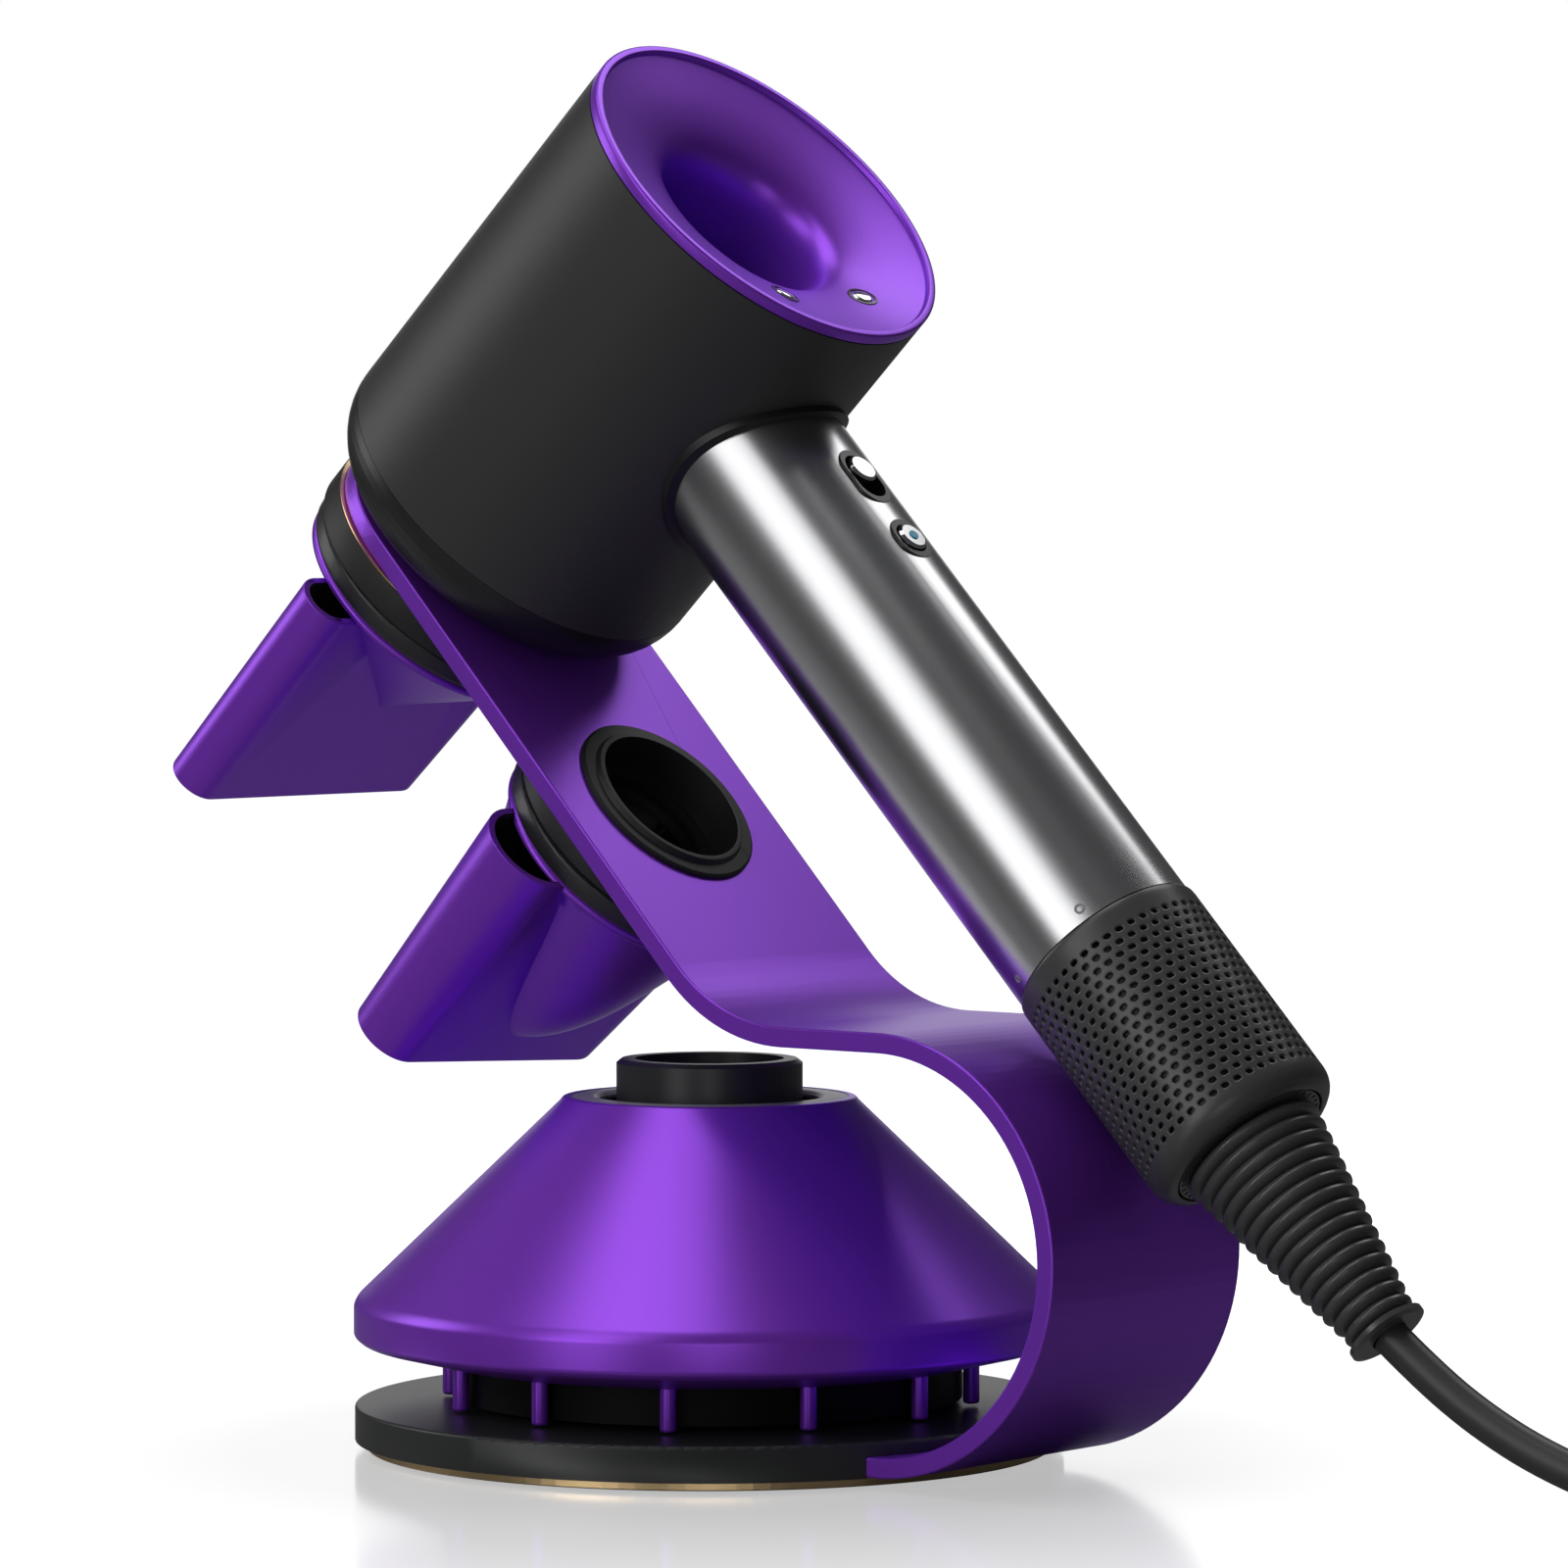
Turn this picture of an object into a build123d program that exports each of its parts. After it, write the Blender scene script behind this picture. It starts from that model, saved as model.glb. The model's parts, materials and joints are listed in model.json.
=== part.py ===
from build123d import *
import os
from math import cos, sin, tan, radians, degrees, pi, hypot

# Hair dryer resting on its docking stand, with two nozzles parked on the stand's arm and a diffuser on its base.
# Millimetres. Origin: centre of the round base on the floor. +Z up, the arm's loop points to +X.

# ---- driving dimensions ---------------------------------------------------------------------------------------
tilt = 43.4                 # head axis above the floor, degrees
dock_x, dock_z = -57.4, 172.7   # where the head's axis meets the top face of the arm's plate
head_long = 97.0            # rear rim to front face
plate_gap = 2.0             # front face of the head to the plate
head_r, head_wall = 39.0, 2.0
cap_start, cap_round = 84.0, 13.0
bore_r = 17.0               # hole right through the head
handle_at = 39.0            # handle axis, behind the rear rim
handle_r, handle_end = 18.6, 158.0
cage_r, cage_start, cage_end = 19.2, 158.4, 205.0
relief_start, relief_end = 205.2, 247.2
relief_big_r, relief_small_r, relief_ribs = 14.0, 6.8, 15
cord_r = 3.5

base_r, base_bottom, base_top = 68.1, 2.0, 8.7
trim_r, pad_r = 65.8, 60.0
arm_wide, arm_thick = 58.0, 3.8
loop_x, loop_r, loop_low = 63.3, 41.0, 2.2     # centre, outer radius and underside of the arm's loop
bend_r = 34.0               # bend between the slope and the level run
foot_end_x = 6.0
dock_rise = 2.0             # dock centre above the head axis, along the plate
dock_r, dock_long = 30.0, 6.6       # upper dock
lower_dock_at = 67.7        # second dock, down the plate from the head axis
lower_dock_r, lower_dock_long = 27.8, 4.6
styling_turn = 3.7          # how far round the lower nozzle is left
grommet_r, grommet_bore = 19.7, 15.4

cone_wide_r, cone_top_r = 68.3, 28.7
cone_low, cone_band_low, cone_band_top, cone_top = 17.4, 20.8, 28.8, 67.6
diffuser_wall = 1.8
collar_r, collar_top = 17.9, 74.8
peg_ring_r, peg_r, peg_count, peg_bottom = 50.6, 1.6, 12, 9.1

clear = 0.3                 # gap between bodies that move apart
wall = 1.6                  # thin mouldings

# ---- frames ---------------------------------------------------------------------------------------------------
cos_t = cos(radians(tilt))
sin_t = sin(radians(tilt))
flow = Vector(-cos_t, 0, -sin_t)        # rear to front of the head
down = Vector(sin_t, 0, -cos_t)         # along the handle, head to cord
plate_point = Vector(dock_x, 0, dock_z)
rear_rim = plate_point - flow * (head_long + plate_gap)

# Dryer frame: X down the handle, Z along the air flow, origin at the centre of the rear rim.
dryer = Plane(origin=rear_rim, x_dir=down, z_dir=flow)
# Handle frame: Z down the handle, X towards the front of the head, origin on the head's axis.
handle = Plane(origin=rear_rim + flow * handle_at, x_dir=flow, z_dir=down)


def dock_frame(along):
    """Frame on the plate's top face, Z out through the plate, X down the plate."""
    return Plane(origin=plate_point + down * along, x_dir=down, z_dir=flow)


upper_dock_frame = dock_frame(-dock_rise)
lower_dock_frame = dock_frame(lower_dock_at)

os.makedirs("parts", exist_ok=True)


def write(name, shape, frame=Plane.XY):
    """Place a shape by its frame and write it as one node."""
    export_step(frame.location * shape, f"parts/{name}.step")


def joined(shapes):
    """Separate solids kept as one group."""
    return Compound(children=list(shapes))


# ---- basic shapes ---------------------------------------------------------------------------------------------
def disc(radius, low, high, x=0.0, y=0.0):
    """Solid cylinder along Z between two heights."""
    return Pos(x, y, low) * Cylinder(radius, high - low, align=(Align.CENTER, Align.CENTER, Align.MIN))


def ring(r_out, r_in, low, high):
    """Plain tube along Z."""
    return disc(r_out, low, high) - disc(r_in, low - 1, high + 1)


def turned(*profile):
    """Solid of revolution about Z from a closed (radius, height) outline."""
    outline = Polyline(*[(r, 0, z) for r, z in profile], close=True)
    return revolve(make_face(outline), Axis.Z)


def block(x0, x1, y0, y1, z0, z1):
    """Box between two corners."""
    return Pos(x0, y0, z0) * Box(x1 - x0, y1 - y0, z1 - z0, align=Align.MIN)


def around(count, radius, start=0.0):
    """Evenly spaced (x, y, angle) places on a circle."""
    for k in range(count):
        angle = radians(start + 360.0 * k / count)
        yield radius * cos(angle), radius * sin(angle), degrees(angle)


def arc_points(centre_r, centre_z, radius, start, end, count):
    """(radius, height) points on an arc of a turned profile, angles in degrees."""
    for k in range(count + 1):
        angle = radians(start + (end - start) * k / count)
        yield centre_r + radius * cos(angle), centre_z + radius * sin(angle)


# ---- dryer head -----------------------------------------------------------------------------------------------
rim_wide, rim_deep = 1.9, 1.0           # flat band round the inlet
dish_r, dish_deep = 27.0, 3.4           # where the dish turns down into the bore
mouth_round = 10.0                      # rounding from the dish into the bore
mouth_deep = 15.0
bore_split = 58.0                       # bell ends and core tube starts
seam = 1.2                              # bell rim thickness at the shell


def bell_line(offset):
    """Inlet dish from the rim in to the bore, moved outwards by a wall thickness."""
    points = [(head_r - rim_wide - 0.4 * offset, rim_deep + offset), (dish_r + 0.4 * offset, dish_deep + offset)]
    points += [
        (bore_r + offset + (dish_r - 1.0 - bore_r) * (1 - sin(radians(a))), dish_deep + 1.0
         + offset * cos(radians(a)) + (mouth_deep - dish_deep) * (1 - cos(radians(a))))
        for a in range(9, 91, 9)
    ]
    return points


def make_inlet_bell():
    """Rolled rim, shallow dish and the rear half of the through bore."""
    inside = bell_line(0.0)
    outside = bell_line(wall)
    rim = [(head_r - 0.5, 0.0), (head_r, 0.5), (head_r, seam + 1.0), (head_r - head_wall, seam + 1.0)]
    profile = [(head_r - rim_wide + 0.4, 0.0)] + rim + outside
    profile += [(bore_r + wall, bore_split), (bore_r, bore_split)] + inside[::-1]
    return turned(*profile)


def make_button_hole(y):
    """Cutter for one of the two round buttons in the inlet dish."""
    return disc(button_r + clear, -1, 8, button_x, y)


button_x, button_y, button_r = 24.2, 11.6, 2.2


def make_head_shell():
    """Plain cylinder with the hole where the handle joins."""
    shell = ring(head_r, head_r - head_wall, seam + 1.2, cap_start - 0.1)
    hole = Pos(0, 0, handle_at) * Rot(0, 90, 0) * disc(handle_r + 0.2, 20, 60)
    return shell - hole


def make_front_cap():
    """Rounded front edge of the head, open in the middle for the air slot."""
    front_r = head_r - cap_round
    outer = list(arc_points(front_r, head_long - cap_round, cap_round, 0, 90, 12))
    inner = list(arc_points(front_r, head_long - cap_round, cap_round - head_wall, 0, 90, 10))
    lip = [(slot_r_out + 1.2, head_long), (slot_r_out + 1.2, head_long - head_wall)]
    return turned(*outer, *lip, *inner[::-1])


slot_r_in, slot_r_out = bore_r + wall + 0.2, 22.6


def make_core_tube():
    """Front half of the through bore, flared at the air slot."""
    return turned(
        (bore_r, bore_split + 0.1), (bore_r + wall, bore_split + 0.1), (bore_r + wall, head_long - 8),
        (slot_r_in + 0.6, head_long - 3), (slot_r_in + 0.6, head_long - 0.6), (bore_r + 0.6, head_long - 0.2),
        (bore_r, head_long - 1.0),
    )


def make_outlet_ring():
    """Outer wall of the air slot with six spacer ribs to the core tube."""
    collar = turned(
        (slot_r_out, head_long - 0.4), (slot_r_out + 1.0, head_long - 0.4), (slot_r_out + 1.0, head_long - 9),
        (slot_r_out + 4.5, head_long - 16), (slot_r_out + 3.3, head_long - 16), (slot_r_out, head_long - 9),
    )
    ribs = [
        Rot(0, 0, a) * block(slot_r_in + 0.9, slot_r_out + 0.5, -0.6, 0.6, head_long - 9, head_long - 5)
        for a in range(0, 360, 60)
    ]
    return collar + ribs


def make_heater_frame():
    """Two mica rings joined by eight radial cards, round the core tube."""
    rings = [ring(33.0, bore_r + wall + 0.4, z, z + 1.0) for z in (50.0, 76.0)]
    cards = [Rot(0, 0, a) * block(20.5, 32.5, -0.5, 0.5, 50.5, 76.5) for a in range(22, 382, 45)]
    return rings[0] + rings[1] + cards


def make_heater_element():
    """Heating wire as flat rings threaded through the mica cards."""
    return joined(
        Pos(0, 0, z) * (Torus(r, 0.55) - [Rot(0, 0, a) * block(20.0, 33.0, -0.7, 0.7, -2, 2) for a in range(22, 382, 45)])
        for z in (54.0, 59.0, 64.0, 69.0, 74.0) for r in (24.0, 29.5)
    )


def make_control_board():
    """Ring-shaped circuit board behind the inlet dish, with its larger components."""
    board = ring(35.5, 22.0, 21.0, 22.6)
    parts = [Rot(0, 0, a) * block(26.0, 33.0, -3.0, 3.0, 22.6, 27.0) for a in (60, 120, 180, 240, 300)]
    return board + parts


# ---- handle ---------------------------------------------------------------------------------------------------
def make_handle_collar():
    """Low ring that seals the handle to the round head."""
    sleeve = ring(handle_r + 1.7, handle_r + 0.05, 20.0, head_r + 6)
    saddle = Rot(0, 90, 0) * disc(head_r + 1.4, -60, 60)
    inside = Rot(0, 90, 0) * disc(head_r + 0.05, -60, 60)
    return (sleeve & saddle) - inside


def control_pocket(at, long):
    """Pill-shaped cutter through the rear wall of the handle tube."""
    pill = SlotOverall(long, control_wide)
    return Pos(-handle_r - 2, 0, at) * Rot(0, 90, 0) * extrude(pill, amount=5.0)


control_wide = 8.2
switch_at, switch_long = 55.8, 13.6
shot_at, shot_long = 71.8, 9.8
control_face_r = handle_r + 0.15
switch_travel, shot_travel, press_travel = 3.0, 1.2, 0.8


def make_handle_tube():
    """Polished tube from inside the head down to the filter cage."""
    tube = ring(handle_r, handle_r - 1.4, 22.5, handle_end)
    head_side = Rot(0, 90, 0) * disc(head_r - head_wall - 0.3, -60, 60)
    tube = tube - head_side
    return tube - control_pocket(switch_at, switch_long) - control_pocket(shot_at, shot_long)


def make_bezel(at, long, slot_long, slot_wide):
    """Dark pill let into the handle, with the opening its button moves in."""
    pill = Pos(-control_face_r, 0, at) * Rot(0, 90, 0) * extrude(SlotOverall(long - 0.2, control_wide - 0.2), 3.6)
    slot = Pos(-control_face_r - 1, 0, at) * Rot(0, 90, 0) * extrude(SlotOverall(slot_long, slot_wide), 3.9)
    return pill - slot


def make_round_button(at, radius, proud, depth):
    """Domed round button whose stem points into the handle."""
    button = Pos(-control_face_r - proud, 0, at) * Rot(0, 90, 0) * disc(radius, 0, depth)
    return chamfer(button.faces().sort_by(Axis.X)[0].edges(), 0.5)


def make_motor_duct():
    """Moulded liner of the handle, the tube the air is driven through."""
    return ring(duct_in + 1.0, duct_in, 46.0, 152.0) + ring(handle_r - 1.45, duct_in, 150.0, 152.0)


motor_start, motor_end = 96.0, 132.0
duct_in = handle_r - 4.6


def make_motor_housing():
    """Outer ring, hub for the bearings and thirteen guide vanes."""
    outer = ring(duct_in - 0.05, duct_in - 1.4, motor_start, motor_end)
    hub = ring(6.6, 5.8, 104.0, motor_end)
    vanes = [Rot(0, 0, a) * block(6.2, duct_in - 1.0, -0.4, 0.4, 122.0, 131.0) for _, _, a in around(13, 1)]
    return outer + hub + vanes


def make_motor_stator():
    """Laminated stator with four wound poles."""
    core = ring(5.7, 4.9, 106.0, 116.0)
    poles = [Rot(0, 0, a) * block(3.0, 5.2, -1.1, 1.1, 107.0, 115.0) for a in (0, 90, 180, 270)]
    return core + poles


def make_motor_rotor():
    """Shaft with its bonded magnet."""
    return disc(shaft_r, 101.0, 131.0) + disc(2.7, 107.0, 115.0)


shaft_r = 1.0


def make_impeller():
    """Small axial fan: a hub with thirteen pitched blades."""
    hub = disc(5.2, 96.5, 101.0)
    blades = [
        Rot(0, 0, a) * Pos(7.8, 0, 98.6) * Rot(38, 0, 0) * Box(6.4, 0.6, 4.2) for _, _, a in around(13, 1)
    ]
    return hub + blades


def make_bearings():
    """Ball bearings above and below the magnet."""
    return joined(
        ring(5.7, shaft_r + 0.02, z, z + 2.6) for z in (102.2, 118.6)
    )


def make_filter_cage():
    """Sleeve over the air intake; it pulls down off the handle for cleaning."""
    lip_r = relief_big_r + 1.6
    round_r = 3.4
    corner = list(arc_points(cage_r - round_r, cage_end - round_r, round_r, 0, 90, 6))
    return turned(
        (cage_r - 0.4, cage_start), (cage_r, cage_start + 0.4), *corner, (lip_r, cage_end),
        (lip_r, cage_end - 1.6), (cage_r - round_r - 0.6, cage_end - 1.6), (cage_r - 1.6, cage_end - 3.6),
        (cage_r - 1.6, cage_start),
    )


def make_filter_frame():
    """Fixed inner frame of the intake: end rings and six bars that carry the mesh."""
    ends = [ring(16.9, 14.0, 153.0, 158.2), ring(15.2, 13.0, 198.0, 202.8)]
    bars = [Rot(0, 0, a) * block(14.0, 15.2, -1.0, 1.0, 158.0, 199.0) for a in range(0, 360, 60)]
    return ends[0] + ends[1] + bars


def make_end_cap():
    """Fixed bottom of the handle, drilled with a ring of small air holes."""
    cap = ring(15.2, 6.0, 203.0, 204.8)
    holes = [disc(0.45, 202, 206, x, y) for x, y, _ in around(40, 14.45)]
    return cap - holes


def make_strain_relief():
    """Tapered bend protector with raised ribs."""
    pitch = (relief_end - relief_start) / relief_ribs
    points = []
    for k in range(relief_ribs):
        low = relief_start + k * pitch
        share = k / (relief_ribs - 1)
        crest = relief_big_r + (relief_small_r + 0.3 - relief_big_r) * share
        root = crest - 1.3 + 0.5 * share
        points += [(root, low), (crest, low + 0.3 * pitch), (crest, low + 0.7 * pitch), (root, low + pitch)]
    return turned((cord_r + 0.1, relief_start), *points, (cord_r + 0.1, relief_end))


def make_cord_ferrule():
    """Small flange where the cord leaves the strain relief."""
    return turned(
        (cord_r + 0.1, relief_end + 0.1), (6.2, relief_end + 0.1), (7.7, relief_end + 0.8),
        (7.7, relief_end + 1.7), (6.6, relief_end + 2.1), (cord_r + 0.1, relief_end + 2.1),
    )


# ---- cord -----------------------------------------------------------------------------------------------------
coil_x, coil_y, coil_r_in, coil_r_out = 246.0, 66.0, 25.0, 53.0
coil_layer = 2 * cord_r                 # the turns lie one diameter apart
cord_exit = handle.origin + down * (relief_end + 2.2)
cord_route = [
    (cord_exit.X, 0.0, cord_exit.Z),
    (166.0, 0.0, 26.2),
    (176.5, 0.4, 19.4),
    (189.0, 1.4, 13.2),
    (204.5, 3.6, 8.0),
    (223.0, 7.6, 4.5),
    (245.0, 12.6, 3.7),
    (268.5, 21.5, 3.6),
]
tail_route = [
    (294.5, 52.0, 17.5),
    (301.5, 76.5, 15.5),
    (301.0, 102.0, 10.8),
    (288.5, 122.0, 7.9),
    (268.0, 133.5, 8.0),
    (245.0, 134.0, 8.5),
]


def cord_bends(points):
    """Arc radius at each corner: 0.45 of the shorter run over the tangent of half the turn."""
    radii = []
    for before, here, after in zip(points, points[1:], points[2:]):
        run_in = Vector(*here) - Vector(*before)
        run_out = Vector(*after) - Vector(*here)
        half_turn = radians(run_in.get_angle(run_out) / 2)
        radii.append(0.45 * min(run_in.length, run_out.length) / tan(half_turn))
    return radii


def make_cord(route):
    """Round lead swept along straight runs joined by tangent arcs."""
    radii = cord_bends(route)
    path = FilletPolyline(*route, radius=radii)
    start = Vector(*route[1]) - Vector(*route[0])
    section = Plane(origin=route[0], z_dir=start) * Circle(cord_r)
    lead = sweep(section, path=path)
    print("cord radii", [round(r, 1) for r in radii], "length", round(path.length, 1))
    print("cord volume", round(lead.volume), "section x length", round(pi * cord_r ** 2 * path.length))
    return lead


def make_cord_coil():
    """Outer shape of the wound-up rest of the cord: two full layers and one turn on top."""
    step_r, top = coil_r_out - coil_layer, 3 * coil_layer
    soft = 2.0
    return turned(
        (coil_r_in, soft), (coil_r_in + soft, 0), (coil_r_out - soft, 0), (coil_r_out, soft),
        (coil_r_out, top - soft), (coil_r_out - soft, top), (step_r + soft, top), (step_r, top - soft),
        (step_r, 2 * coil_layer), (coil_r_in + soft, 2 * coil_layer), (coil_r_in, 2 * coil_layer - soft),
    )


def make_plug_body():
    """Moulded two-pin plug, tapered towards its cord."""
    tail = loft([Circle(5.0), Pos(0, 0, 14) * Circle(7.0)])
    neck = loft([Pos(0, 0, 14) * Circle(7.0), Pos(0, 0, 26) * RectangleRounded(26, 17, 6)])
    body = Pos(0, 0, 26) * extrude(RectangleRounded(26, 17, 6), amount=14)
    return tail + neck + body


def make_plug_pins():
    """Two flat blades."""
    return joined(Pos(x, 0, 40.05) * Box(1.5, 6.3, 17, align=(Align.CENTER, Align.CENTER, Align.MIN)) for x in (-6.35, 6.35))


# ---- stand ----------------------------------------------------------------------------------------------------
def arc_mid(centre, radius, angle):
    """Point on a circle in the XZ plane."""
    return (centre[0] + radius * cos(radians(angle)), 0, centre[1] + radius * sin(radians(angle)))


def make_arm_outline():
    """Side view of the arm: plate slope, bend, level run, half-round loop and foot."""
    loop_z = loop_low + loop_r
    level = loop_z + loop_r
    top = lambda along: plate_point + down * along
    under = lambda along: plate_point + down * along + flow * arm_thick
    corner_along = (dock_z - level) / cos_t
    bend_tangent = bend_r * tan(radians(90 - tilt) / 2)
    bend_start = corner_along - bend_tangent
    bend_centre = top(bend_start) - flow * bend_r
    centre = (bend_centre.X, bend_centre.Z)
    slope_angle = 180 + tilt
    mid_angle = (slope_angle + 270) / 2
    inner_r = loop_r - arm_thick
    return [
        Line(top(-dock_rise), top(bend_start)),
        ThreePointArc(top(bend_start), arc_mid(centre, bend_r, mid_angle), arc_mid(centre, bend_r, 270)),
        Line(arc_mid(centre, bend_r, 270), (loop_x, 0, level)),
        ThreePointArc((loop_x, 0, level), (loop_x + loop_r, 0, loop_z), (loop_x, 0, loop_low)),
        Line((loop_x, 0, loop_low), (foot_end_x, 0, loop_low)),
        Line((foot_end_x, 0, loop_low), (foot_end_x, 0, loop_low + arm_thick)),
        Line((foot_end_x, 0, loop_low + arm_thick), (loop_x, 0, loop_low + arm_thick)),
        ThreePointArc((loop_x, 0, loop_low + arm_thick), (loop_x + inner_r, 0, loop_z), (loop_x, 0, level - arm_thick)),
        Line((loop_x, 0, level - arm_thick), arc_mid(centre, bend_r + arm_thick, 270)),
        ThreePointArc(
            arc_mid(centre, bend_r + arm_thick, 270), arc_mid(centre, bend_r + arm_thick, mid_angle), under(bend_start)
        ),
        Line(under(bend_start), under(-dock_rise)),
        Line(under(-dock_rise), top(-dock_rise)),
    ]


dock_bore, step_bore = 17.4, 13.6
screw_places = [(20.0, -18.0), (20.0, 18.0), (44.0, -18.0), (44.0, 18.0)]
screw_r, screw_head_r = 2.0, 3.8


def make_arm():
    """One bent strip with a round upper end, holes for both docks and for the foot screws."""
    outline = make_face(Curve() + make_arm_outline())
    strip = Pos(0, arm_wide / 2, 0) * extrude(outline, amount=arm_wide, dir=(0, -1, 0))
    end = upper_dock_frame.location * disc(arm_wide / 2, 0, arm_thick)
    arm = strip + end
    for frame in (upper_dock_frame, lower_dock_frame):
        arm = arm - frame.location * disc(dock_bore + 0.1, -2, arm_thick + 2)
    for x, y in screw_places:
        arm = arm - disc(screw_r + 0.2, 0, 9, x, y) - disc(screw_head_r + 0.2, 0, loop_low + 1.6, x, y)
    return arm


def split_arm(arm):
    """The arm's three stretches: flat plate, bent loop and flat foot."""
    wide = arm_wide
    plate_zone = dock_frame(0).location * block(-60, plate_end, -wide, wide, -20, 20)
    foot_zone = block(-40, loop_x, -wide, wide, 0, 10)
    return arm & plate_zone, arm - plate_zone - foot_zone, arm & foot_zone


plate_end = 104.0           # the flat plate ends here, just before the bend


def make_arm_screws():
    """Countersunk screws that hold the foot up against the base."""
    return joined(
        disc(screw_head_r, loop_low, loop_low + 1.4, x, y) + disc(screw_r, loop_low + 1.4, base_top - 1.2, x, y)
        for x, y in screw_places
    )


def make_base_disc():
    """Heavy round base: a top plate with a rim, notched where the arm's foot slides in."""
    body = disc(base_r, base_bottom, base_top)
    body = fillet(body.edges().sort_by(Axis.Z)[-1], 0.7)
    body = body - disc(base_r - 5.5, 0, loop_low + arm_thick + 0.1)
    body = body - block(40, 80, -arm_wide / 2 - 0.1, arm_wide / 2 + 0.1, 0, loop_low + arm_thick + 0.1)
    body = body - make_loop_notch()
    for x, y in screw_places:
        body = body - disc(screw_r, 0, base_top - 1.1, x, y)
    return body


def make_loop_notch():
    """Space the rising loop needs in the rim of the base."""
    loop_z = loop_low + loop_r
    inner_r = loop_r - arm_thick - 0.1
    tube = Rot(90, 0, 0) * (disc(loop_r + 2, -arm_wide / 2 - 0.1, arm_wide / 2 + 0.1) - disc(inner_r, -50, 50))
    return (Pos(loop_x, 0, loop_z) * tube) & block(loop_x, 80, -60, 60, -5, 20)


def make_base_weight():
    """Steel plate inside the base, cut away for the arm's foot."""
    plate = disc(base_r - 5.8, loop_low, loop_low + arm_thick)
    return plate - block(foot_end_x - 0.3, 80, -arm_wide / 2 - 0.3, arm_wide / 2 + 0.3, 0, 10)


def make_trim_ring():
    """Copper ring under the rim."""
    return ring(trim_r, pad_r + 0.2, 0.3, base_bottom - 0.02)


def make_dock(barrel_r, barrel_long, top):
    """Dock: a barrel under the plate, a neck through it and the piece on top of the plate."""
    barrel = ring(barrel_r, grommet_bore, arm_thick + 0.4, arm_thick + barrel_long)
    barrel = chamfer(barrel.edges().filter_by(GeomType.CIRCLE).sort_by(Axis.Z)[-2:], 0.6)
    neck = ring(dock_bore, grommet_bore, -0.1, arm_thick + 0.5)
    neck = neck + ring(grommet_bore + 0.2, step_bore, arm_thick + barrel_long - 1.6, arm_thick + barrel_long)
    groove = ring(26.4, 20.6, arm_thick + barrel_long - 3.4, arm_thick + barrel_long - 1.0)
    return barrel + neck + top - groove


def make_dock_spigot():
    """Short ring in line with the head, which centres its outlet."""
    r = bore_r - 0.4
    return Pos(dock_rise, 0, 0) * turned((13.0, -0.02), (r, -0.02), (r, -3.4), (r - 0.6, -4.0), (13.0, -4.0))


def make_grommet():
    """Flanged collar round the open hole, with a raised lip."""
    return turned(
        (grommet_bore, 0), (dock_bore, 0), (dock_bore, -0.02), (grommet_r, -0.02), (grommet_r, -0.6),
        (grommet_r - 0.5, -1.0), (16.9, -1.0), (16.4, -2.0), (grommet_bore, -2.0),
    )


def make_dock_trim():
    """Thin copper washer between the plate and the dock."""
    return ring(dock_r - 0.2, dock_bore + 0.1, arm_thick + 0.02, arm_thick + 0.38)


def make_dock_magnets(barrel_long):
    """Ring of eight round magnets, sealed in the dock."""
    low = arm_thick + barrel_long - 3.3
    return joined(disc(2.6, low, low + 2.2, x, y) for x, y, _ in around(8, 23.5, 22.5))


# ---- nozzles --------------------------------------------------------------------------------------------------
nozzle_gap = 0.3            # collar to dock, and shell to collar
collar_long = 4.4
collar_bore, spigot_r = 20.0, 19.92
skin = 1.5                  # wall of the blades


def blade_section(at, wide, thick):
    """Round-ended slot across the plate, at a height in the nozzle's frame."""
    return Pos(0, 0, at) * Rot(0, 0, 90) * SlotOverall(wide, thick)


def blade_solid(root, tip, inset=0.0, extra=0.0):
    """Tapered slot-shaped solid; an inset makes the hollow inside it."""
    return loft([
        blade_section(root[0] - extra, root[1] - 2 * inset, root[2] - 2 * inset),
        blade_section(tip[0] + extra, tip[1] - 2 * inset, tip[2] - 2 * inset),
    ])


def fairing_solid(sections, inset=0.0):
    """Cone from the round collar that sinks into both faces of the blade; sections are (height, width, depth)."""
    return loft([Pos(0, 0, at) * Ellipse(wide - inset, deep - min(inset, deep / 2)) for at, wide, deep in sections])


def make_nozzle_blade(root, tip, fairing):
    """Flat hollow blade, open at both ends and to the cone."""
    blade = blade_solid(root, tip) - blade_solid(root, tip, skin, 0.01)
    foot_room = disc(fairing[0][1] + 0.1, 0, collar_long + nozzle_gap + 1.25)
    return blade - fairing_solid(fairing, 2.2) - foot_room


def make_nozzle_cone(root, tip, fairing):
    """Cone on both faces of the blade, with the spigot that turns in the collar."""
    start = collar_long + nozzle_gap
    bore_in = spigot_r - 1.6
    cone = fairing_solid(fairing) - fairing_solid(fairing, 2.2)
    foot = disc(fairing[0][1], start, start + 1.2) - disc(bore_in, 0, start + 3)
    lobes = (cone - blade_solid(root, tip)) + foot
    spigot = ring(spigot_r, bore_in, 0.4, start + 0.6) + ring(spigot_r + 0.6, bore_in, 1.0, 1.8)
    return lobes + spigot


def make_nozzle_collar(r_out):
    """Round collar that meets the dock, with a groove for the cone's snap ring and one for its magnet."""
    collar = turned(
        (collar_bore, 0), (r_out - 0.5, 0), (r_out, 0.5), (r_out, collar_long - 0.8), (r_out - 0.8, collar_long),
        (collar_bore, collar_long),
    )
    return collar - ring(collar_bore + 0.9, collar_bore - 1, 0.7, 2.1)


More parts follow.
